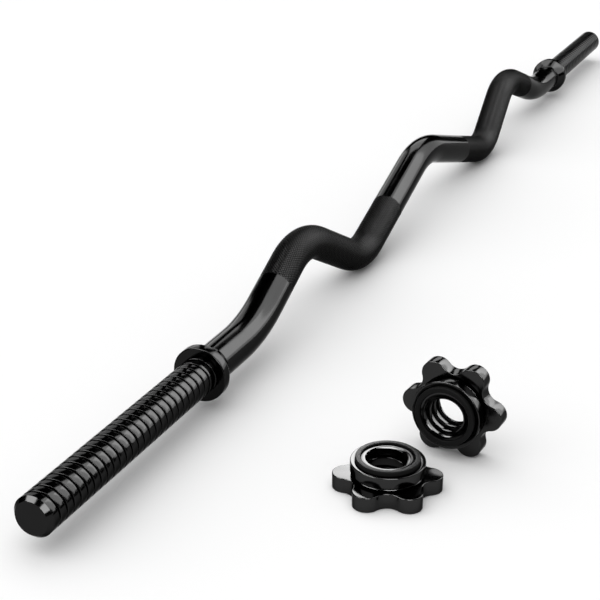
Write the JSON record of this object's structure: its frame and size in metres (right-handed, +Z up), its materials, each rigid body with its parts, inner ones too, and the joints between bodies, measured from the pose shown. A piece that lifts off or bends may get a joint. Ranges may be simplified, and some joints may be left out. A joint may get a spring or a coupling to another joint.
{
  "type": "ez curl bar",
  "caption": "Bent EZ curl bar with knurled grips, threaded sleeves and welded stop collars, with its pair of screw-on star collars lying beside it.",
  "frame": {"origin": "on the floor, under the middle of the set's bounding box, level with the bar's centre bend", "axes": "+X along the bar from the end with the loose collars to the other end, +Z up from the floor, +Y from the loose collars to the bar"},
  "size_m": [1.2, 0.2117, 0.0632],
  "materials": {
    "bar_coat": "gloss black coat over solid steel",
    "cast_nut": "black enamel over cast iron",
    "seal_rubber": "matt black rubber"
  },
  "bodies": {
    "bar": {"bar": "bar_coat", "near_stop_collar": "bar_coat", "near_weld_bead": "bar_coat", "far_stop_collar": "bar_coat", "far_weld_bead": "bar_coat"},
    "flat_seal": {"flat_collar_seal": "seal_rubber"},
    "flat_nut": {"flat_collar_nut": "cast_nut"},
    "standing_seal": {"standing_collar_seal": "seal_rubber"},
    "standing_nut": {"standing_collar_nut": "cast_nut"}
  },
  "joints": [
    {"name": "flat_collar_travel", "type": "slide", "parent": "bar", "child": "flat_seal", "axis": [0, 0, 1], "range_m": [0, 0.1596]},
    {"name": "flat_collar_spin", "type": "hinge", "parent": "flat_seal", "child": "flat_nut", "pos_m": [-0.4594, -0.05491, 0.0096], "axis": [0, 0, 1], "range_deg": [0, 8640]},
    {"name": "standing_collar_travel", "type": "slide", "parent": "bar", "child": "standing_seal", "axis": [0.9963, -0.0863, 0], "range_m": [0, 0.1596]},
    {"name": "standing_collar_spin", "type": "hinge", "parent": "standing_seal", "child": "standing_nut", "pos_m": [-0.40706, -0.07378, 0.02826], "axis": [0.9963, -0.0863, 0], "range_deg": [0, 8640]}
  ],
  "couplings": [
    {"joint": "flat_collar_travel", "follows": "flat_collar_spin", "m_per_rad": 0.0010584},
    {"joint": "standing_collar_travel", "follows": "standing_collar_spin", "m_per_rad": 0.0010584}
  ]
}
